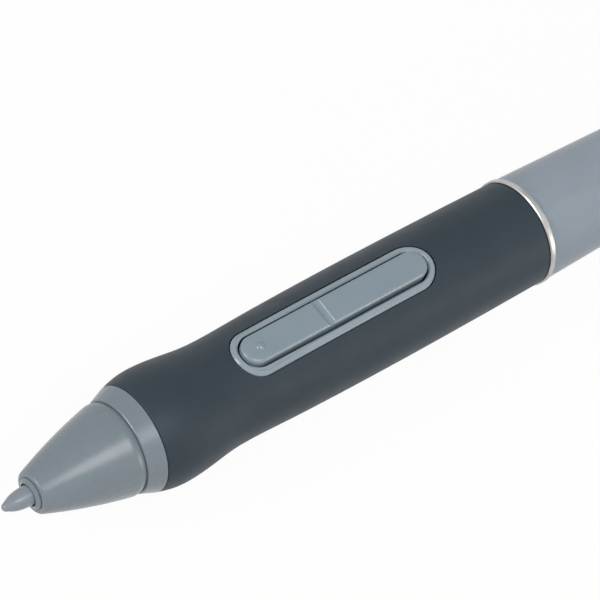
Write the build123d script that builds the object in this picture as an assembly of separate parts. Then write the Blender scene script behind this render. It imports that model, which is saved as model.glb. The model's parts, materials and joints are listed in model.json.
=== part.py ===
from build123d import *
import math
import os

# A pen for a graphics tablet. While it is modelled, +X runs along the pen from the nib's tip, +Z is the
# side with the switch, and the pen's axis is the X axis. Lengths are in millimetres, radii from the axis.

# Lengths along the outside, from the nib to the eraser
nib_out = 3.66
cone_length = 12.74
collar_length = 2.33
grip_length = 60.34
ring_length = 0.73
barrel_length = 69.2
tail_length = 3.0
eraser_out = 5.0

# Nib: a rod with a bullet-shaped head
nib_tip_length = 0.75
nib_tip_radius = 0.68
nib_mouth_radius = 1.28
nib_shank_radius = 0.8
nib_head_gap = 1.8

# Nose cone: a stepped mouth, a lip, a slightly bulged side and a rounded rear shoulder
mouth_radius = 1.47
boss_slope = 0.3
boss_radius = 2.0
boss_step = 0.2
lip_radius = 2.2
lip_at = 0.42
nose_radius = 2.65
nose_round = 0.45
cone_bulge = 0.24
shoulder_length = 1.2
shoulder_radius = 5.93
shoulder_rear_radius = 5.76
cavity_room = 0.85
cavity_slope = 2.4
cavity_front_radius = 2.5
cavity_radius = 3.4
thread_radius = 4.3
thread_length = 4.0

# Collar ring
collar_front_radius = 6.1
collar_rear_radius = 6.9
collar_chamfer = 0.12

# Grip: places are measured from its front edge
grip_front_radius = 6.92
grip_flare_at = 3.6
grip_flare_radius = 7.5
grip_waist_at = 12.8
grip_waist_radius = 6.72
grip_rise_at = 22.0
grip_rise_radius = 6.96
grip_rise_slope = 0.022
grip_swell_at = 38.5
grip_swell_radius = 7.14
grip_rear_drop = 0.06
grip_front_round = 0.25
grip_rear_round = 0.2

# Tube under the grip
tube_bore = 4.9
tube_wall = 0.85
tube_front_wall = 1.3
tube_plug_length = 8.0
spigot_bore = 3.45

# Trim ring, rear barrel and tail
ring_proud = 0.15
ring_chamfer = 0.15
barrel_front_wall = 0.82
barrel_rear_radius = 5.28
sleeve_wall = 0.42
sleeve_chamfer = 0.2
barrel_wall = 0.75
barrel_step = 0.15
tail_front_radius = 5.2
tail_rear_radius = 4.6
tail_round = 0.4
tail_plug_length = 3.5
eraser_radius = 3.4
eraser_round = 2.2
eraser_seat = 2.5

# Bezel of the side switch: its place is measured from the grip's front edge
bezel_from_grip = 13.55
bezel_length = 30.3
bezel_width = 6.3
bezel_rim = 0.85
bezel_proud = 0.14
bezel_chamfer = 0.2
skirt_wall = 0.4
skirt_bottom = 4.5

# Side switch: places are measured from its front end, heights from the pen's axis
rocker_end_gap = 0.2
rocker_side_gap = 0.38
rocker_front_height = 7.4
rocker_rear_height = 7.62
rocker_floor = 5.0
rocker_round = 0.45
groove_from_front = 12.15
groove_radius = 0.5
groove_depth = 0.42
groove_edge = 0.08
dot_from_front = 2.5
dot_radius = 0.58
dot_height = 0.27
pivot_from_front = 12.8
pivot_height = 4.7
pivot_radius = 0.6
hub_radius = 0.9
ear_radius = 1.1
front_foot_reach = 6.3
rear_foot_reach = 7.3
foot_radius = 0.8

# Coil at the nose
ferrite_length = 10.2
ferrite_radius = 2.2
ferrite_bore = 1.05
winding_from_front = 0.9
winding_length = 6.6
winding_wall = 0.75
carrier_length = 3.4
carrier_floor = 1.74

# Pressure sensor
sensor_length = 11.9
sensor_front_wall = 1.2
holder_radius = 1.9
holder_length = 6.0
holder_depth = 3.6
holder_front_gap = 0.2
holder_flange = 0.8
holder_flange_radius = 2.6
pad_radius = 1.6
pad_length = 1.2
disc_radius = 2.55
disc_length = 1.0
clip_length = 0.3
clip_pin_radius = 0.3
clip_pin_length = 4.6
cap_plug_length = 1.7
cap_flange = 1.0
cap_flange_radius = 4.2

# Chassis, board and what is on the board
chassis_radius = 4.4
chassis_wall = 0.7
chassis_ring = 1.5
chassis_rib = 0.8
chassis_rib_count = 3
board_from_chassis = 4.0
board_length = 74.0
board_width = 8.4
board_thickness = 0.8
board_underside = 0.3
board_round = 0.5
switch_base_radius = 1.6
switch_base_height = 0.5
dome_radius = 1.2
dome_top_radius = 0.7
dome_height = 0.45
chip_from_board = 33.0
chip_size = 4.0
chip_height = 0.9
trimmer_from_board = 42.0
trimmer_radius = 1.5
trimmer_height = 1.2
trimmer_slot = 0.4
chip_part_length = 1.6
chip_part_width = 0.8
chip_part_height = 0.6
chip_part_from_board = 49.0
chip_part_from_end = 9.0
chip_part_count = 6
chip_part_offset = 1.9

# Eraser's inner pieces
eraser_shaft_radius = 1.5
eraser_shaft_length = 17.5
eraser_stem_depth = 3.0
eraser_flange = 0.8
eraser_flange_radius = 2.4
eraser_core_length = 8.3
eraser_core_radius = 2.9
eraser_core_bore = 1.7
eraser_winding_length = 5.6
eraser_winding_wall = 0.6
eraser_sensor_length = 8.0
eraser_sensor_radius = 3.9
eraser_pad_length = 1.5
eraser_pad_radius = 1.5

# Clearances
running_gap = 0.1
seat_gap = 0.03
window_gap = 0.15
pivot_gap = 0.05
foot_gap = 0.05
stop_gap = 0.05

# Places along the pen, and what follows from the sizes above
collar_at = nib_out + cone_length
grip_at = collar_at + collar_length
ring_at = grip_at + grip_length
barrel_at = ring_at + ring_length
tail_at = barrel_at + barrel_length
eraser_at = tail_at + tail_length
tube_radius = tube_bore + tube_wall
barrel_front_radius = tube_radius + seat_gap + barrel_front_wall + seat_gap + sleeve_wall
ring_radius = barrel_front_radius + ring_proud
grip_rear_radius = barrel_front_radius - grip_rear_drop
pen_length = eraser_at + eraser_out
thread_at = collar_at - thread_length
tube_bore_at = grip_at + tube_front_wall
sensor_at = tube_bore_at + stop_gap
holder_at = sensor_at + sensor_front_wall + holder_front_gap
nib_length = holder_at + holder_depth
carrier_rear = sensor_at - seat_gap
ferrite_rear = carrier_rear - carrier_floor - seat_gap
ferrite_at = ferrite_rear - ferrite_length
cavity_at = ferrite_at - cavity_room
nib_head_rear = ferrite_at - nib_head_gap
holder_rear = holder_at + holder_length
disc_at = holder_rear + pad_length + 2 * seat_gap
clip_at = disc_at + disc_length + seat_gap
sensor_rear = sensor_at + sensor_length
cap_rear = sensor_rear + seat_gap + cap_flange
chassis_at = cap_rear + seat_gap
board_at = chassis_at + board_from_chassis
board_top = board_underside + board_thickness
chip_part_span = board_length - chip_part_from_board - chip_part_from_end
dome_top = board_top + switch_base_height + dome_height
bezel_at = grip_at + bezel_from_grip
slot_at = bezel_at + bezel_rim
slot_length = bezel_length - 2 * bezel_rim
slot_width = bezel_width - 2 * bezel_rim
rocker_at = slot_at + rocker_end_gap
rocker_length = slot_length - 2 * rocker_end_gap
rocker_width = slot_width - 2 * rocker_side_gap
pivot_at = rocker_at + pivot_from_front
front_foot_at = pivot_at - front_foot_reach
rear_foot_at = pivot_at + rear_foot_reach
eraser_front = eraser_at - eraser_seat
shaft_rear = eraser_front + eraser_stem_depth
shaft_front = shaft_rear - eraser_shaft_length
eraser_core_at = tail_at - tail_plug_length - seat_gap - eraser_core_length
eraser_sensor_rear = eraser_core_at - seat_gap
eraser_sensor_at = eraser_sensor_rear - eraser_sensor_length
chassis_rear = eraser_sensor_at - seat_gap
spigot_radius = chassis_radius - chassis_wall - seat_gap
axis_height = max(grip_flare_radius, grip_swell_radius, ring_radius, barrel_front_radius)


def barrel_radius(place):
    """The rear barrel's outer radius, which tapers evenly to the tail."""
    share = (place - barrel_at) / barrel_length
    return barrel_front_radius + share * (barrel_rear_radius - barrel_front_radius)


def tube_outside(place):
    """The outer radius of the coloured tube inside the clear sleeve."""
    return barrel_radius(place) - sleeve_wall - seat_gap


def rocker_height(place):
    """The height of the side switch's straight, slightly rising top."""
    share = (place - rocker_at) / rocker_length
    return rocker_front_height + share * (rocker_rear_height - rocker_front_height)


def rounded(face, corner, radius):
    """The flat face with its corner nearest to the given point rounded."""
    return fillet(face.vertices().sort_by_distance(corner)[0], radius)


def revolved(face):
    """The half outline turned about the pen's axis, with its seam on the side away from the switch."""
    return Rot(-90, 0, 0) * revolve(face, Axis.X)


def turned(outline, corner=None, radius=0.0):
    """A piece turned from its half outline, points of (place, radius), with one corner rounded if
    its number in the outline is given."""
    face = make_face(Polyline(*outline, close=True))
    if corner is not None:
        face = rounded(face, outline[corner], radius)
    return revolved(face)


def tube(start, end, outer, inner=0.0):
    """A straight tube or, with no inner radius, a rod along the axis."""
    return turned([(start, inner), (start, outer), (end, outer), (end, inner)])


def slot_block(front, length, width, low, high):
    """An upright block with half-round ends."""
    return Pos(front + length / 2, 0, low) * extrude(SlotOverall(length, width), high - low)


def block(front, length, width, low, high):
    """An upright block with square ends."""
    return Pos(front + length / 2, 0, (low + high) / 2) * Box(length, width, high - low)


def post(place, radius, low, high):
    """An upright round post on the pen's middle plane."""
    return Pos(place, 0, (low + high) / 2) * Cylinder(radius, high - low)


def cross_pin(place, height, radius, width):
    """A round pin across the pen."""
    return Pos(place, 0, height) * Rot(90, 0, 0) * Cylinder(radius, width)


def grip_form(proud=0.0, front_round=0.0, rear_round=0.0):
    """The grip's turned form over the tube, its outside raised by proud: flare, waist and long swell."""
    points = [
        (grip_at, grip_front_radius + proud),
        (grip_at + grip_flare_at, grip_flare_radius + proud),
        (grip_at + grip_waist_at, grip_waist_radius + proud),
        (grip_at + grip_rise_at, grip_rise_radius + proud),
        (grip_at + grip_swell_at, grip_swell_radius + proud),
        (ring_at, grip_rear_radius + proud),
    ]
    front_slope = 2 * (grip_flare_radius - grip_front_radius) / grip_flare_at
    rear_slope = 2 * (grip_rear_radius - grip_swell_radius) / (grip_length - grip_swell_at)
    slopes = [(1, front_slope), (1, 0), (1, 0), (1, grip_rise_slope), (1, 0), (1, rear_slope)]
    bore = tube_radius + seat_gap
    outside = Spline(*points, tangents=slopes)
    inside = Polyline(points[-1], (ring_at, bore), (grip_at, bore), points[0])
    face = make_face(Curve() + [outside, inside])
    if front_round:
        face = rounded(face, points[0], front_round)
    if rear_round:
        face = rounded(face, points[-1], rear_round)
    return revolved(face)


def nib():
    head = Spline(
        (0, 0),
        (nib_tip_length, nib_tip_radius),
        (nib_out, nib_mouth_radius),
        tangents=[(0, 1), (1, 0.55), (1, 0.04)],
    )
    rod = Polyline(
        (nib_out, nib_mouth_radius),
        (nib_head_rear, nib_mouth_radius),
        (nib_head_rear, nib_shank_radius),
        (nib_length, nib_shank_radius),
        (nib_length, 0),
        (0, 0),
    )
    return revolved(make_face(Curve() + [head, rod]))


def nib_holder():
    outline = [
        (holder_at, nib_shank_radius),
        (holder_at, holder_radius),
        (holder_rear - holder_flange, holder_radius),
        (holder_rear - holder_flange, holder_flange_radius),
        (holder_rear, holder_flange_radius),
        (holder_rear, 0),
        (nib_length, 0),
        (nib_length, nib_shank_radius),
    ]
    return turned(outline)


def nose_cone():
    """The screwed cone: a boss round the mouth, a fine step, a rounded lip, a bulged side and a shoulder
    that turns in to the collar."""
    nose = (nib_out + lip_at, nose_radius)
    shoulder = (collar_at - shoulder_length, shoulder_radius)
    rear = (collar_at, shoulder_rear_radius)
    middle = ((nose[0] + shoulder[0]) / 2, (nose[1] + shoulder[1]) / 2 + cone_bulge)
    side = ThreePointArc(nose, middle, shoulder)
    front = Polyline(
        (nib_out, mouth_radius),
        (nib_out + boss_slope, boss_radius),
        (nib_out + boss_slope + boss_step, boss_radius),
        (nib_out + lip_at, lip_radius),
        nose,
    )
    bore = thread_radius + seat_gap
    inside = Polyline(
        rear,
        (collar_at, bore),
        (thread_at, bore),
        (thread_at, cavity_radius),
        (cavity_at + cavity_slope, cavity_radius),
        (cavity_at, cavity_front_radius),
        (cavity_at, mouth_radius),
        (nib_out, mouth_radius),
    )
    turned_in = TangentArc(shoulder, rear, tangent=side % 1)
    face = make_face(Curve() + [front, side, turned_in, inside])
    return revolved(rounded(face, nose, nose_round))


def collar_ring():
    front = collar_at + seat_gap
    bore = thread_radius + seat_gap
    outline = [
        (front, bore),
        (front, collar_front_radius - collar_chamfer),
        (front + collar_chamfer, collar_front_radius),
        (grip_at - collar_chamfer, collar_rear_radius),
        (grip_at, collar_rear_radius - collar_chamfer),
        (grip_at, bore),
    ]
    return turned(outline)


def bezel_window(wall, low, high):
    """The block that clears the bezel's outer outline by wall all round."""
    return slot_block(bezel_at - wall, bezel_length + 2 * wall, bezel_width + 2 * wall, low, high)


def skirt_block(wall, low, high):
    """The block of the bezel's skirt, grown by wall all round."""
    grown = skirt_wall + wall
    return slot_block(slot_at - grown, slot_length + 2 * grown, slot_width + 2 * grown, low, high)


def grip_sleeve():
    sleeve = grip_form(0.0, grip_front_round, grip_rear_round)
    return sleeve - bezel_window(window_gap, 0, 2 * grip_flare_radius)


def front_tube():
    """The hard tube under the grip, with the cone's thread in front and the barrel's plug behind."""
    plug_end = barrel_at + tube_plug_length
    outline = [
        (thread_at + running_gap, spigot_bore),
        (thread_at + running_gap, thread_radius),
        (grip_at + seat_gap, thread_radius),
        (grip_at + seat_gap, tube_radius),
        (plug_end, tube_radius),
        (plug_end, tube_bore),
        (tube_bore_at, tube_bore),
        (tube_bore_at, spigot_bore),
    ]
    return turned(outline) - skirt_block(seat_gap, 0, 2 * tube_radius)


def trim_ring():
    bore = tube_radius + seat_gap
    outline = [
        (ring_at + seat_gap, bore),
        (ring_at + seat_gap, ring_radius - ring_chamfer),
        (ring_at + seat_gap + ring_chamfer, ring_radius),
        (barrel_at, ring_radius),
        (barrel_at, bore),
    ]
    return turned(outline)


def barrel_sleeve():
    outline = [
        (barrel_at + seat_gap, barrel_front_radius - sleeve_wall),
        (barrel_at + seat_gap, barrel_front_radius - sleeve_chamfer),
        (barrel_at + seat_gap + sleeve_chamfer, barrel_front_radius),
        (tail_at, barrel_rear_radius),
        (tail_at, barrel_rear_radius - sleeve_wall),
    ]
    return turned(outline)


def barrel_tube():
    front = barrel_at + barrel_step
    step = barrel_at + tube_plug_length + running_gap
    plug_bore = tube_radius + seat_gap
    outline = [
        (front, plug_bore),
        (front, tube_outside(front)),
        (tail_at, tube_outside(tail_at)),
        (tail_at, tube_outside(tail_at) - barrel_wall),
        (step, tube_outside(step) - barrel_wall),
        (step, plug_bore),
    ]
    return turned(outline)


def tail_ring():
    plug = tube_outside(tail_at) - barrel_wall - seat_gap
    bore = eraser_radius + running_gap
    outline = [
        (tail_at - tail_plug_length, bore),
        (tail_at - tail_plug_length, plug),
        (tail_at + seat_gap, plug),
        (tail_at + seat_gap, tail_front_radius),
        (eraser_at, tail_rear_radius),
        (eraser_at, bore),
    ]
    return turned(outline, 4, tail_round)


def eraser_tip():
    outline = [
        (eraser_front, eraser_shaft_radius),
        (eraser_front, eraser_radius),
        (pen_length, eraser_radius),
        (pen_length, 0),
        (shaft_rear, 0),
        (shaft_rear, eraser_shaft_radius),
    ]
    return turned(outline, 2, eraser_round)


def eraser_shaft():
    outline = [
        (shaft_front, 0),
        (shaft_front, eraser_flange_radius),
        (shaft_front + eraser_flange, eraser_flange_radius),
        (shaft_front + eraser_flange, eraser_shaft_radius),
        (shaft_rear, eraser_shaft_radius),
        (shaft_rear, 0),
    ]
    return turned(outline)


def eraser_core():
    return tube(eraser_core_at, eraser_core_at + eraser_core_length, eraser_core_radius, eraser_core_bore)


def eraser_winding():
    start = eraser_core_at + (eraser_core_length - eraser_winding_length) / 2
    return wound_ring(start, eraser_winding_length, eraser_core_radius, eraser_winding_wall)


def eraser_sensor():
    """The eraser's sensor housing, with a spigot that the chassis grips."""
    stop_at = shaft_front + eraser_flange + stop_gap
    cavity_at = shaft_front - eraser_pad_length
    cavity = eraser_flange_radius + running_gap
    outline = [
        (chassis_rear - chassis_ring, 0),
        (chassis_rear - chassis_ring, spigot_radius),
        (eraser_sensor_at, spigot_radius),
        (eraser_sensor_at, eraser_sensor_radius),
        (eraser_sensor_rear, eraser_sensor_radius),
        (eraser_sensor_rear, eraser_shaft_radius + running_gap),
        (stop_at, eraser_shaft_radius + running_gap),
        (stop_at, cavity),
        (cavity_at, cavity),
        (cavity_at, 0),
    ]
    return turned(outline)


def wound_ring(start, length, core_radius, wall):
    """A winding of fine wire on its core."""
    inner = core_radius + seat_gap
    return tube(start, start + length, inner + wall, inner)


def coil_winding():
    start = ferrite_at + winding_from_front
    return wound_ring(start, winding_length, ferrite_radius, winding_wall)


def core_carrier():
    """The cup that holds the ferrite in the tube's spigot."""
    front = carrier_rear - carrier_length
    seat = carrier_rear - carrier_floor
    outline = [
        (front, ferrite_radius + seat_gap),
        (front, spigot_bore - seat_gap),
        (carrier_rear, spigot_bore - seat_gap),
        (carrier_rear, ferrite_bore),
        (seat, ferrite_bore),
        (seat, ferrite_radius + seat_gap),
    ]
    return turned(outline)


def sensor_housing():
    guide_at = sensor_at + sensor_front_wall
    cavity_at = holder_rear - holder_flange - stop_gap
    cavity = holder_flange_radius + running_gap
    outline = [
        (sensor_at, ferrite_bore),
        (sensor_at, tube_bore - seat_gap),
        (sensor_rear, tube_bore - seat_gap),
        (sensor_rear, cavity),
        (cavity_at, cavity),
        (cavity_at, holder_radius + running_gap),
        (guide_at, holder_radius + running_gap),
        (guide_at, ferrite_bore),
    ]
    return turned(outline)


def sensor_clip():
    """The metal contact: a plate against the disc and a pin through the cap to the board."""
    plate = tube(clip_at, clip_at + clip_length, disc_radius)
    pin = tube(clip_at, clip_at + clip_pin_length, clip_pin_radius)
    return plate + pin


def sensor_cap():
    """The plug that closes the sensor, with a spigot that the chassis grips."""
    plug = holder_flange_radius + running_gap - seat_gap
    hole = clip_pin_radius + seat_gap
    outline = [
        (sensor_rear - cap_plug_length, hole),
        (sensor_rear - cap_plug_length, plug),
        (sensor_rear + seat_gap, plug),
        (sensor_rear + seat_gap, cap_flange_radius),
        (cap_rear, cap_flange_radius),
        (cap_rear, spigot_radius),
        (chassis_at + chassis_ring, spigot_radius),
        (chassis_at + chassis_ring, hole),
    ]
    return turned(outline)


def chassis():
    """The tray along the pen: a half tube with ribs, closed to a ring at each end."""
    length = chassis_rear - chassis_at
    bore = chassis_radius - chassis_wall
    shell = tube(chassis_at, chassis_rear, chassis_radius, bore)
    opening = block(chassis_at + chassis_ring, length - 2 * chassis_ring, 2 * chassis_radius,
                    board_underside, 2 * chassis_radius)
    tray = shell - opening
    pitch = length / (chassis_rib_count + 1)
    for number in range(chassis_rib_count):
        place = chassis_at + (number + 1) * pitch
        rib = tube(place - chassis_rib / 2, place + chassis_rib / 2, bore + chassis_wall / 2)
        tray += rib - block(place - chassis_rib, 2 * chassis_rib, 2 * chassis_radius,
                            board_underside, 2 * chassis_radius)
    return tray


def circuit_board():
    outline = RectangleRounded(board_length, board_width, board_round)
    return Pos(board_at + board_length / 2, 0, board_underside) * extrude(outline, board_thickness)


def switch_base(place):
    return post(place, switch_base_radius, board_top, board_top + switch_base_height)


def switch_dome(place):
    """A snap dome, a low cone on its base."""
    low = board_top + switch_base_height
    return Pos(place, 0, (low + dome_top) / 2) * Cone(dome_radius, dome_top_radius, dome_height)


def control_chip():
    return block(board_at + chip_from_board, chip_size, chip_size, board_top, board_top + chip_height)


def tuning_trimmer():
    """A round trimmer with a screwdriver slot."""
    place = board_at + trimmer_from_board
    top = board_top + trimmer_height
    slot = block(place - trimmer_radius, 2 * trimmer_radius, trimmer_slot, top - trimmer_slot, top)
    return post(place, trimmer_radius, board_top, top) - slot


def chip_parts():
    """Small chip capacitors and resistors in two staggered rows."""
    parts = []
    pitch = chip_part_span / (chip_part_count - 1)
    for number in range(chip_part_count):
        place = board_at + chip_part_from_board + number * pitch
        side = chip_part_offset if number % 2 else -chip_part_offset
        body = block(place, chip_part_length, chip_part_width, board_top, board_top + chip_part_height)
        parts.append(Pos(0, side, 0) * body)
    return Compound(children=parts)


def switch_bezel():
    """The frame round the switch: a rim that follows the grip's curve, a skirt through the tube, and
    two ears that hold the switch's pivot."""
    top = 2 * grip_flare_radius
    rim = bezel_window(0.0, 0, top) & grip_form(bezel_proud)
    slot = slot_block(slot_at, slot_length, slot_width, 0, top)
    rim = rim - slot
    crown = rim.edges().filter_by(lambda edge: edge.center().Z > tube_radius)
    rim = chamfer(crown, bezel_chamfer)
    skirt = skirt_block(0.0, skirt_bottom, tube_radius + bezel_rim) - slot
    ear_inside = rocker_width + 2 * running_gap
    ear_outside = slot_width + 2 * skirt_wall
    ears = cross_pin(pivot_at, pivot_height, ear_radius, ear_outside)
    ears = ears - block(pivot_at - 2 * ear_radius, 4 * ear_radius, ear_inside, 0, top)
    return rim + skirt + ears - cross_pin(pivot_at, pivot_height, pivot_radius + pivot_gap, bezel_width)


def rocker_groove():
    """The round-bottomed groove across the rocker, with narrow sloped edges."""
    middle = rocker_at + groove_from_front
    top = rocker_height(middle)
    centre_height = top + groove_radius - groove_depth
    half_width = math.sqrt(groove_radius**2 - (groove_radius - groove_depth) ** 2)
    slope = Polyline(
        (middle - half_width - groove_edge, top + groove_edge),
        (middle - half_width - groove_edge, top),
        (middle - half_width, top - groove_edge),
        (middle + half_width, top - groove_edge),
        (middle + half_width + groove_edge, top),
        (middle + half_width + groove_edge, top + groove_edge),
        close=True,
    )
    edges = extrude(Plane.XZ * make_face(slope), rocker_width, both=True)
    return edges + cross_pin(middle, centre_height, groove_radius, 2 * rocker_width)


def side_switch():
    """The two-way rocker: one moulding with a groove across it, a raised dot, pivots and two feet."""
    rocker_rear = rocker_at + rocker_length
    side = Polyline(
        (rocker_at, rocker_floor),
        (rocker_at, rocker_front_height),
        (rocker_rear, rocker_rear_height),
        (rocker_rear, rocker_floor),
        close=True,
    )
    wedge = extrude(Plane.XZ * make_face(side), rocker_width, both=True)
    body = wedge & slot_block(rocker_at, rocker_length, rocker_width, 0, 2 * grip_flare_radius)
    middle_height = (rocker_floor + rocker_front_height) / 2
    crown = body.edges().filter_by(lambda edge: edge.bounding_box().min.Z > middle_height)
    body = fillet(crown, rocker_round)
    body -= rocker_groove()
    dot_at = rocker_at + dot_from_front
    ball = (dot_radius**2 + dot_height**2) / (2 * dot_height)
    body += Pos(dot_at, 0, rocker_height(dot_at) + dot_height - ball) * Sphere(ball)
    body += cross_pin(pivot_at, pivot_height, hub_radius, rocker_width)
    body += cross_pin(pivot_at, pivot_height, pivot_radius, slot_width + 2 * skirt_wall - 2 * stop_gap)
    for place in (front_foot_at, rear_foot_at):
        body += post(place, foot_radius, dome_top + foot_gap, rocker_floor + stop_gap)
    return body


pieces = {
    "nib": nib(),
    "nib_holder": nib_holder(),
    "nose_cone": nose_cone(),
    "collar_ring": collar_ring(),
    "grip_sleeve": grip_sleeve(),
    "front_tube": front_tube(),
    "trim_ring": trim_ring(),
    "barrel_sleeve": barrel_sleeve(),
    "barrel_tube": barrel_tube(),
    "tail_ring": tail_ring(),
    "eraser_tip": eraser_tip(),
    "eraser_shaft": eraser_shaft(),
    "switch_bezel": switch_bezel(),
    "side_switch": side_switch(),
    "ferrite_core": tube(ferrite_at, ferrite_rear, ferrite_radius, ferrite_bore),
    "coil_winding": coil_winding(),
    "core_carrier": core_carrier(),
    "sensor_housing": sensor_housing(),
    "pressure_pad": tube(holder_rear + seat_gap, holder_rear + seat_gap + pad_length, pad_radius),
    "sensor_disc": tube(disc_at, disc_at + disc_length, disc_radius),
    "sensor_clip": sensor_clip(),
    "sensor_cap": sensor_cap(),
    "chassis": chassis(),
    "circuit_board": circuit_board(),
    "front_switch_base": switch_base(front_foot_at),
    "rear_switch_base": switch_base(rear_foot_at),
    "front_switch_dome": switch_dome(front_foot_at),
    "rear_switch_dome": switch_dome(rear_foot_at),
    "control_chip": control_chip(),
    "tuning_trimmer": tuning_trimmer(),
    "chip_parts": chip_parts(),
    "eraser_core": eraser_core(),
    "eraser_winding": eraser_winding(),
    "eraser_sensor": eraser_sensor(),
    "eraser_pad": tube(shaft_front - eraser_pad_length, shaft_front, eraser_pad_radius),
}

# The finished pen lies on its flare, with the origin below the middle of its length
os.makedirs("parts", exist_ok=True)
resting = Pos(-pen_length / 2, 0, axis_height)
for name, piece in pieces.items():
    export_step(resting * piece, f"parts/{name}.step")
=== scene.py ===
import json
import math
import bpy
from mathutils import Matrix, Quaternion, Vector

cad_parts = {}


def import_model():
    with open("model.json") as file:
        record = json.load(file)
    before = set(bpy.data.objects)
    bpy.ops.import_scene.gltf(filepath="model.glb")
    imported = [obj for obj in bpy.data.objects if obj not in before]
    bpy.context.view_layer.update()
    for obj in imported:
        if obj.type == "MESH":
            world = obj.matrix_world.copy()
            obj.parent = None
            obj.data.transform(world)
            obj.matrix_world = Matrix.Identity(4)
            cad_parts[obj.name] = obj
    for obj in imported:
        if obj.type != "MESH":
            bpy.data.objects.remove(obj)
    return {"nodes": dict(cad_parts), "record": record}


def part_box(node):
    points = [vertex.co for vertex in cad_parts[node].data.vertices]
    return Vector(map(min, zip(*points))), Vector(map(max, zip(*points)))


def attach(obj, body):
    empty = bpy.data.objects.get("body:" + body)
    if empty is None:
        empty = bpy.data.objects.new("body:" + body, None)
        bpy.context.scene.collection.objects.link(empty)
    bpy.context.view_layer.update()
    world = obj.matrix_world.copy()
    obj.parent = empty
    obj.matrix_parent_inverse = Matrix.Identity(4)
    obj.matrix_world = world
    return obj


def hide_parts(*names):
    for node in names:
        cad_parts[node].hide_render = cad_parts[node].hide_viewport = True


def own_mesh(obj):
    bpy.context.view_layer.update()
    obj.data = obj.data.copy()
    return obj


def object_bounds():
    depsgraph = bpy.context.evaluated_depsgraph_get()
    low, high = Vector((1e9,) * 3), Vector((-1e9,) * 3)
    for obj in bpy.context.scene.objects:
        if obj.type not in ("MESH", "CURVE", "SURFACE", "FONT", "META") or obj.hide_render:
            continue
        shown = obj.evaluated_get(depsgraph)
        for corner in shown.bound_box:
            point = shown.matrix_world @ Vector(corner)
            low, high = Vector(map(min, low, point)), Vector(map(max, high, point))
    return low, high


# The pen lies along +X from its nib, with the switch on top. Lengths are in metres, angles in degrees.

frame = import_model()
cad_low, cad_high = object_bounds()
nodes = frame["nodes"]
slots = {row["node"]: row["material_slot"] for row in frame["record"]["subparts"]}

# Camera: it looks at a point close by the grip, from above and from the nib's side
camera_aim = Vector((-0.0311, 0.00484, 0.0093))
camera_distance = 0.39945
camera_azimuth = -148.73
camera_elevation = 54.446
camera_roll = 25.349
camera_lens_mm = 198.03
camera_sensor_mm = 36.0
camera_nearest = 0.01
camera_farthest = 10

# Floor: the share of pure white that it shows, and its own two near colours, which keep the shadow
floor_white_share = 0.95
floor_half_width = 1.5
floor_colour = (0.88, 0.85, 0.81, 1)
floor_shade = (0.9, 0.87, 0.83, 1)

# Light: the level at which the white room lights the pen, and each lamp's azimuth, elevation, length,
# width, power and colour
sky_level = 0.33
lamp_distance = 0.6
lamps = {
    "key": (-98, 63, 0.34, 0.26, 1.6, (1.0, 0.99, 0.97)),
    "front": (165, 30, 0.3, 0.26, 1.72, (0.97, 1.0, 0.985)),
    "rear": (-57, 13, 0.16, 0.3, 0.72, (1.0, 0.94, 0.82)),
}

# Inner pieces copied in place of the CAD's, with what would let them give way as a joint moves: the joint,
# the axis, whether their high end stays, and the share of their thickness that is left at the limit
giving = {
    "pressure_pad": ("nib_press", (1, 0, 0), True, 0.57),
    "eraser_pad": ("eraser_press", (1, 0, 0), False, 0.45),
    "front_switch_dome": ("side_switch_rock", (0, 0, 1), False, 0.25),
    "rear_switch_dome": ("side_switch_rock", (0, 0, 1), False, 0.25),
}

# Textures: the scale at which a wave has one band a unit, the values between which most noise lies, and
# how far a moulded piece's roughness strays either way
wave_scale = 0.314
noise_low, noise_high = 0.25, 0.75
roughness_spread = 0.03

# The edges of the pieces made here are sharp where two faces meet at more than this angle
sharp_angle = 40

# Clear sleeve: its bore crosses the gap to the coloured tube and reaches into it by the overlap, so that
# no air shows between them. The middle of its rounded edge is a share of the edge's size.
sleeve_rear_radius = 0.00528
sleeve_wall = 0.00042
sleeve_gap = 0.00003
sleeve_overlap = 0.00002
sleeve_edge = 0.0002
sleeve_edge_middle = 0.3
sleeve_sides = 192

# Groove across the rocker: the rocker's heights are above the pen's axis, and the bore is the CAD's groove.
# The finer floor is an arc that meets the rocker's top at the edge angle. It ends by the inset inside the
# rocker's sides, lies by the sink under their rounding and reaches by the embed into the rocker.
rocker_front_height = 0.0074
rocker_rear_height = 0.00762
rocker_half_width = 0.00192
rocker_round = 0.00045
groove_from_front = 0.01215
groove_half_width = 0.000573
groove_edge_angle = 48
groove_bore_radius = 0.0005
groove_bore_depth = 0.00042
groove_inset = 0.00003
groove_sink = 0.000002
groove_embed = 0.00003
groove_steps = 32
groove_rows = 64


def linear(red, green, blue):
    """A colour of 0 to 255 values as seen on a screen, as the shader needs it."""
    def one(value):
        share = value / 255
        return share / 12.92 if share <= 0.04045 else ((share + 0.055) / 1.055) ** 2.4
    return one(red), one(green), one(blue), 1.0


def direction(azimuth, elevation):
    """The unit vector toward an azimuth from +X and an elevation."""
    around, up = math.radians(azimuth), math.radians(elevation)
    return Vector((math.cos(around) * math.cos(up), math.sin(around) * math.cos(up), math.sin(up)))


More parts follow.
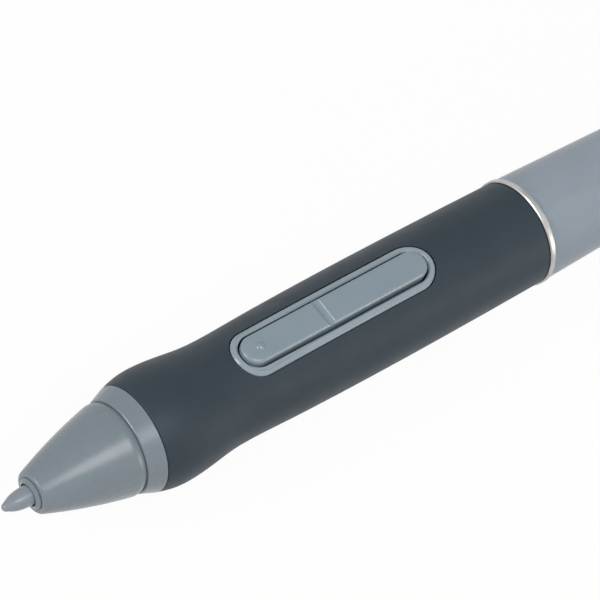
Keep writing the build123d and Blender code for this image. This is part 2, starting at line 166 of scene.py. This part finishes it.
class Shader:
    """A material with one Principled shader, whose textures are laid out in the part's own space."""

    def __init__(self, name, **sockets):
        self.material = bpy.data.materials.new(name)
        self.material.use_nodes = True
        self.nodes = self.material.node_tree.nodes
        self.links = self.material.node_tree.links
        self.surface = self.nodes["Principled BSDF"]
        self.place = self.add("ShaderNodeTexCoord").outputs["Object"]
        for socket, value in sockets.items():
            self.surface.inputs[socket.replace("_", " ")].default_value = value
        self.height = None

    def add(self, kind, **settings):
        node = self.nodes.new(kind)
        for setting, value in settings.items():
            setattr(node, setting, value)
        return node

    def scaled(self, size, stretch=(1, 1, 1)):
        """The part's space in units of size metres, longer by stretch along each axis."""
        scaled = self.add("ShaderNodeMapping")
        scaled.inputs["Scale"].default_value = [1 / (size * one) for one in stretch]
        self.links.new(self.place, scaled.inputs["Vector"])
        return scaled.outputs["Vector"]

    def noise(self, size, detail=3.0, stretch=(1, 1, 1)):
        """Noise whose patches are about size metres across."""
        noise = self.add("ShaderNodeTexNoise")
        noise.inputs["Scale"].default_value = 1.0
        noise.inputs["Detail"].default_value = detail
        self.links.new(self.scaled(size, stretch), noise.inputs["Vector"])
        return noise.outputs["Fac"]

    def bands(self, pitch, axis="X"):
        """Even bands across an axis, pitch metres apart."""
        wave = self.add("ShaderNodeTexWave", bands_direction=axis)
        wave.inputs["Scale"].default_value = wave_scale
        self.links.new(self.scaled(pitch), wave.inputs["Vector"])
        return wave.outputs["Fac"]

    def cells(self, size):
        """Small cells, for a cast or sintered surface."""
        cells = self.add("ShaderNodeTexVoronoi")
        cells.inputs["Scale"].default_value = 1.0
        self.links.new(self.scaled(size), cells.inputs["Vector"])
        return cells.outputs["Distance"]

    def spread(self, factor, low, high):
        """The factor's middle half spread from low to high."""
        spread = self.add("ShaderNodeMapRange")
        spread.inputs["From Min"].default_value = noise_low
        spread.inputs["From Max"].default_value = noise_high
        spread.inputs["To Min"].default_value = low
        spread.inputs["To Max"].default_value = high
        self.links.new(factor, spread.inputs["Value"])
        return spread.outputs["Result"]

    def colours(self, factor, first, second):
        """The base colour goes from the first to the second with the factor."""
        mix = self.add("ShaderNodeMix", data_type="RGBA")
        mix.inputs["A"].default_value = first
        mix.inputs["B"].default_value = second
        self.links.new(self.spread(factor, 0, 1), mix.inputs["Factor"])
        self.links.new(mix.outputs["Result"], self.surface.inputs["Base Color"])

    def roughness(self, factor, low, high):
        """The roughness goes from low to high with the factor."""
        self.links.new(self.spread(factor, low, high), self.surface.inputs["Roughness"])

    def relief(self, factor, depth):
        """Bumps as deep as depth metres, over the bumps that are there already."""
        bump = self.add("ShaderNodeBump")
        bump.inputs["Distance"].default_value = depth
        self.links.new(factor, bump.inputs["Height"])
        if self.height:
            self.links.new(self.height, bump.inputs["Normal"])
        self.height = bump.outputs["Normal"]
        self.links.new(self.height, self.surface.inputs["Normal"])


def moulded_plastic(name, colour, shade, rough, grain=0.00012, grain_depth=0.0000012):
    """Satin moulded plastic: a fine spark-eroded grain and a faint unevenness of colour and gloss."""
    shader = Shader(name)
    shader.colours(shader.noise(0.004), linear(*colour), linear(*shade))
    shader.roughness(shader.noise(0.0015), rough - roughness_spread, rough + roughness_spread)
    shader.relief(shader.noise(grain), grain_depth)
    return shader.material


def soft_rubber():
    """Soft-touch rubber: matt, with a dense fine grain and a faint cloudiness from the mould."""
    shader = Shader("soft_rubber", Specular_IOR_Level=0.25)
    shader.colours(shader.noise(0.007), linear(41, 53, 62), linear(45, 57, 66))
    shader.roughness(shader.noise(0.002), 0.47, 0.55)
    shader.relief(shader.noise(0.00009), 0.000004)
    shader.relief(shader.cells(0.00016), 0.0000025)
    return shader.material


def turned_metal():
    """Bright turned metal with fine grooves round the ring. Its tone wanders in patches from a darker to a
    lighter grey, which are painted reflections.
    """
    shader = Shader("turned_metal", Metallic=1.0)
    # Patches of darker and lighter grey: painted reflections round the ring.
    shader.colours(shader.noise(0.003), linear(154, 153, 152), linear(192, 191, 190))
    shader.roughness(shader.noise(0.001), 0.32, 0.38)
    shader.relief(shader.noise(0.00004, stretch=(1, 40, 40)), 0.0000015)
    return shader.material


def clear_plastic():
    """Polished clear plastic with faint flow marks."""
    shader = Shader("clear_plastic", Transmission_Weight=1.0, IOR=1.49)
    shader.colours(shader.noise(0.02), linear(252, 253, 254), linear(255, 255, 255))
    shader.roughness(shader.noise(0.01), 0.15, 0.19)
    shader.relief(shader.noise(0.008, stretch=(3, 1, 1)), 0.0000015)
    return shader.material


def lacquered_tube():
    """The grey-blue tube under the clear sleeve, with the finest of pearl in its paint."""
    shader = Shader("lacquered_tube", Specular_IOR_Level=0.2)
    pearl = shader.noise(0.00006, detail=1.0)
    shader.colours(pearl, linear(146, 158, 169), linear(152, 164, 175))
    shader.roughness(shader.noise(0.003), 0.42, 0.5)
    shader.relief(shader.noise(0.005), 0.000002)
    return shader.material


def ground_ferrite():
    """Dark sintered ferrite with grinding lines along it."""
    shader = Shader("ground_ferrite")
    shader.colours(shader.cells(0.0002), linear(70, 70, 74), linear(84, 84, 88))
    shader.roughness(shader.noise(0.0004), 0.45, 0.6)
    shader.relief(shader.noise(0.00005, stretch=(30, 1, 1)), 0.000006)
    return shader.material


def wound_wire():
    """Turns of enamelled copper wire, side by side."""
    shader = Shader("wound_wire", Metallic=1.0, Coat_Weight=0.6)
    enamel = shader.noise(0.0006, stretch=(0.2, 1, 1))
    shader.colours(enamel, linear(150, 72, 36), linear(190, 104, 56))
    shader.roughness(shader.noise(0.0005), 0.25, 0.35)
    shader.relief(shader.bands(0.00012), 0.00005)
    return shader.material


def circuit_green():
    """Green solder mask over copper tracks that run along the board."""
    shader = Shader("circuit_green", Coat_Weight=0.3)
    tracks = shader.bands(0.0011, axis="Y")
    shader.colours(tracks, linear(22, 84, 50), linear(40, 112, 66))
    shader.roughness(shader.noise(0.0008), 0.3, 0.4)
    shader.relief(tracks, 0.00002)
    return shader.material


def stamped_metal(name, colour, shade):
    """Thin stamped metal with rolling lines."""
    shader = Shader(name, Metallic=1.0)
    shader.colours(shader.noise(0.001), linear(*colour), linear(*shade))
    shader.roughness(shader.noise(0.0006), 0.25, 0.38)
    shader.relief(shader.noise(0.00005, stretch=(1, 30, 1)), 0.000002)
    return shader.material


def fired_ceramic(name, colour, shade):
    """Pale fired ceramic with a fine crystalline surface."""
    shader = Shader(name)
    shader.colours(shader.cells(0.00015), linear(*colour), linear(*shade))
    shader.roughness(shader.noise(0.0005), 0.5, 0.62)
    shader.relief(shader.cells(0.0001), 0.000004)
    return shader.material


# Moulded pieces: the material's name, its two near colours and its roughness, and the grain's size and
# depth where they differ
moulded = {
    "nib": ("nib_plastic", (124, 133, 142), (129, 138, 147), 0.3),
    "cone_grey": ("cone_plastic", (111, 122, 131), (115, 126, 135), 0.28, 0.00016, 0.0000013),
    "switch_grey": ("switch_plastic", (126, 141, 152), (130, 145, 156), 0.2),
    # The bezel's colours are the switch plastic's made lighter, a painted highlight on the rim's rounded
    # crown.
    "bezel": ("bezel_plastic_painted_highlight", (137, 151, 161), (141, 155, 165), 0.24),
    "eraser_plastic": ("eraser_plastic", (111, 121, 129), (116, 126, 134), 0.45),
    "tube_plastic": ("tube_plastic", (46, 48, 51), (54, 56, 59), 0.5, 0.0003),
    "holder_plastic": ("holder_plastic", (214, 211, 200), (224, 221, 212), 0.4),
    "sensor_plastic": ("sensor_plastic", (62, 63, 68), (70, 71, 76), 0.48, 0.0002),
    "chip_black": ("chip_black", (34, 34, 36), (42, 42, 44), 0.55, 0.00008),
    "pad_rubber": ("pad_rubber", (38, 38, 39), (46, 46, 47), 0.7, 0.0001),
}


def materials():
    """One material for each of the record's slots, and one for the bezel: the switch's plastic made
    lighter, a painted highlight on its rounded rim.
    """
    made = {slot: moulded_plastic(*values) for slot, values in moulded.items()}
    made.update({
        "grip_rubber": soft_rubber(),
        "trim_metal": turned_metal(),
        "clear_plastic": clear_plastic(),
        "barrel_grey": lacquered_tube(),
        "ferrite": ground_ferrite(),
        "winding_wire": wound_wire(),
        "board_green": circuit_green(),
        "contact_metal": stamped_metal("contact_metal", (202, 178, 120), (214, 192, 136)),
        "dome_metal": stamped_metal("dome_metal", (184, 184, 182), (198, 198, 196)),
        "ceramic": fired_ceramic("ceramic", (222, 214, 196), (232, 226, 210)),
        "chip_tan": fired_ceramic("chip_tan", (168, 140, 104), (182, 156, 122)),
    })
    return made


def meshed_piece(name, points, faces, material):
    """A new piece from its points and faces, smooth between its sharp edges."""
    mesh = bpy.data.meshes.new(name)
    mesh.from_pydata(points, [], faces)
    mesh.validate()
    mesh.shade_smooth()
    mesh.set_sharp_from_angle(angle=math.radians(sharp_angle))
    mesh.materials.append(material)
    piece = bpy.data.objects.new(name, mesh)
    bpy.context.scene.collection.objects.link(piece)
    return piece


def clear_sleeve(material):
    """The clear sleeve, turned finely, moulded on to the coloured tube with no air between them."""
    low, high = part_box("barrel_sleeve")
    front_radius = (high[1] - low[1]) / 2
    axis_height = (high[2] + low[2]) / 2
    inward = sleeve_wall + sleeve_overlap + sleeve_gap
    edge_middle = sleeve_edge * sleeve_edge_middle
    profile = [
        (low[0], front_radius - inward),
        (low[0], front_radius - sleeve_edge),
        (low[0] + edge_middle, front_radius - edge_middle),
        (low[0] + sleeve_edge, front_radius),
        (high[0], sleeve_rear_radius),
        (high[0], sleeve_rear_radius - inward),
    ]
    points = []
    for place, radius in profile:
        for number in range(sleeve_sides):
            turn = 2 * math.pi * number / sleeve_sides
            height = axis_height + radius * math.cos(turn)
            points.append((place, radius * math.sin(turn), height))
    faces = []
    rows = len(profile)
    for row in range(rows):
        after = (row + 1) % rows
        for number in range(sleeve_sides):
            beside = (number + 1) % sleeve_sides
            faces.append((after * sleeve_sides + number, after * sleeve_sides + beside,
                          row * sleeve_sides + beside, row * sleeve_sides + number))
    piece = meshed_piece("clear_sleeve", points, faces, material)
    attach(piece, "pen")
    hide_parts("barrel_sleeve")


def groove_bore(along):
    """The CAD groove's depth under the rocker's top, at a distance along the pen from its middle."""
    depth = groove_bore_depth - groove_bore_radius
    if abs(along) < groove_bore_radius:
        depth += math.sqrt(groove_bore_radius ** 2 - along ** 2)
    return depth


def groove_floor(material):
    """A shallower floor in the groove, an arc that follows the rounding of the rocker's sides."""
    low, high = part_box("side_switch")
    rise = (rocker_rear_height - rocker_front_height) / (high[0] - low[0])
    middle = low[0] + groove_from_front
    tube_low, tube_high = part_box("barrel_tube")
    top = (tube_low[2] + tube_high[2]) / 2 + rocker_front_height + rise * groove_from_front
    arc_radius = groove_half_width / math.sin(math.radians(groove_edge_angle))
    arc_rise = math.sqrt(arc_radius ** 2 - groove_half_width ** 2)
    flat_half = rocker_half_width - rocker_round
    end = rocker_half_width - groove_inset
    points = []
    for row in range(groove_rows + 1):
        across = end * math.sin(math.pi / 2 * (2 * row / groove_rows - 1))
        past = max(abs(across) - flat_half, 0)
        rounded = rocker_round - math.sqrt(rocker_round ** 2 - past ** 2) + groove_sink
        upper, lower = [], []
        for step in range(groove_steps + 1):
            along = groove_half_width * (2 * step / groove_steps - 1)
            depth = max(math.sqrt(arc_radius ** 2 - along ** 2) - arc_rise, rounded)
            under = max(groove_bore(along), depth) + groove_embed
            surface = top + rise * along
            upper.append((middle + along, across, surface - depth))
            lower.append((middle + along, across, surface - under))
        points += upper + lower[::-1]
    ring = 2 * (groove_steps + 1)
    faces = []
    for row in range(groove_rows):
        for spot in range(ring):
            beside = (spot + 1) % ring
            faces.append((row * ring + spot, row * ring + beside,
                          (row + 1) * ring + beside, (row + 1) * ring + spot))
    for row in (0, groove_rows):
        for step in range(groove_steps):
            cap = [row * ring + step, row * ring + step + 1,
                   row * ring + ring - 2 - step, row * ring + ring - 1 - step]
            faces.append(cap[::-1] if row == 0 else cap)
    piece = meshed_piece("groove_floor", points, faces, material)
    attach(piece, "switch")


def giving_piece(name, joint, axis, high_end_stays, share_left):
    """A copy of a pad or a dome, which stands in for the CAD piece and hides it."""
    piece = bpy.data.objects.new(name + "_giving", nodes[name].data.copy())
    bpy.context.scene.collection.objects.link(piece)
    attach(piece, "pen")
    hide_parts(name)
    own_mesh(piece)


def dress():
    """Gives every CAD piece its material, and adds the pieces that are finer and copies of the pads and
    domes.
    """
    made = materials()
    for name, slot in slots.items():
        piece = nodes[name]
        piece.data.materials.clear()
        # The bezel gets the lighter copy of the switch's plastic, a painted highlight.
        piece.data.materials.append(made["bezel" if name == "switch_bezel" else slot])
    clear_sleeve(made["clear_plastic"])
    groove_floor(made["switch_grey"])
    for name, values in giving.items():
        giving_piece(name, *values)


def area_lamp(name, azimuth, elevation, length, width, power, colour):
    """A soft light aimed at the pen, its length level."""
    data = bpy.data.lights.new(name, "AREA")
    data.shape = "RECTANGLE"
    data.size = length
    data.size_y = width
    data.energy = power
    data.color = colour
    lamp = bpy.data.objects.new(name, data)
    bpy.context.scene.collection.objects.link(lamp)
    away = direction(azimuth, elevation)
    lamp.location = camera_aim + away * lamp_distance
    lamp.rotation_mode = "QUATERNION"
    lamp.rotation_quaternion = (-away).to_track_quat("-Z", "Y")


def white_seen(tree):
    """1 to the camera, in gloss and through what is clear, else 0: where the white room is seen."""
    rays = tree.nodes.new("ShaderNodeLightPath")
    shown = rays.outputs["Is Camera Ray"]
    for kind in ("Is Glossy Ray", "Is Transmission Ray"):
        either = tree.nodes.new("ShaderNodeMath")
        either.operation = "MAXIMUM"
        tree.links.new(shown, either.inputs[0])
        tree.links.new(rays.outputs[kind], either.inputs[1])
        shown = either.outputs["Value"]
    return shown


def world():
    """A white room, which lights the pen less than it shows."""
    studio = bpy.data.worlds.new("studio")
    studio.use_nodes = True
    bpy.context.scene.world = studio
    tree = studio.node_tree
    background = tree.nodes["Background"]
    background.inputs["Color"].default_value = (1, 1, 1, 1)
    level = tree.nodes.new("ShaderNodeMix")
    level.inputs["A"].default_value = sky_level
    level.inputs["B"].default_value = 1.0
    tree.links.new(white_seen(tree), level.inputs["Factor"])
    tree.links.new(level.outputs["Result"], background.inputs["Strength"])


def floor():
    """A plain pale floor, nearly white to the camera, that keeps the pen's shadow."""
    half = floor_half_width
    corners = [(-half, -half, 0), (half, -half, 0), (half, half, 0), (-half, half, 0)]
    mesh = bpy.data.meshes.new("floor")
    mesh.from_pydata(corners, [], [(0, 1, 2, 3)])
    shader = Shader("floor_white", Roughness=0.8, Specular_IOR_Level=0.0)
    shader.colours(shader.noise(0.05), floor_colour, floor_shade)
    white = shader.add("ShaderNodeEmission")
    share = shader.add("ShaderNodeMath", operation="MULTIPLY")
    share.inputs[1].default_value = floor_white_share
    mix = shader.add("ShaderNodeMixShader")
    shader.links.new(white_seen(shader.material.node_tree), share.inputs[0])
    shader.links.new(share.outputs["Value"], mix.inputs["Fac"])
    shader.links.new(shader.surface.outputs["BSDF"], mix.inputs[1])
    shader.links.new(white.outputs["Emission"], mix.inputs[2])
    shader.links.new(mix.outputs["Shader"], shader.nodes["Material Output"].inputs["Surface"])
    mesh.materials.append(shader.material)
    plane = bpy.data.objects.new("floor", mesh)
    plane.location.z = cad_low.z
    bpy.context.scene.collection.objects.link(plane)


def camera():
    """The camera that took the photo, as far as the pen's outlines tell."""
    data = bpy.data.cameras.new("camera")
    data.lens = camera_lens_mm
    data.sensor_width = camera_sensor_mm
    data.clip_start = camera_nearest
    data.clip_end = camera_farthest
    seen_from = bpy.data.objects.new("camera", data)
    bpy.context.scene.collection.objects.link(seen_from)
    back = direction(camera_azimuth, camera_elevation)
    seen_from.location = camera_aim + back * camera_distance
    seen_from.rotation_mode = "QUATERNION"
    roll = Quaternion((0, 0, 1), math.radians(camera_roll))
    seen_from.rotation_quaternion = (-back).to_track_quat("-Z", "Y") @ roll
    bpy.context.scene.camera = seen_from


dress()
world()
floor()
camera()
for lamp_name, lamp_values in lamps.items():
    area_lamp(lamp_name, *lamp_values)
bpy.context.scene.view_settings.view_transform = "Standard"
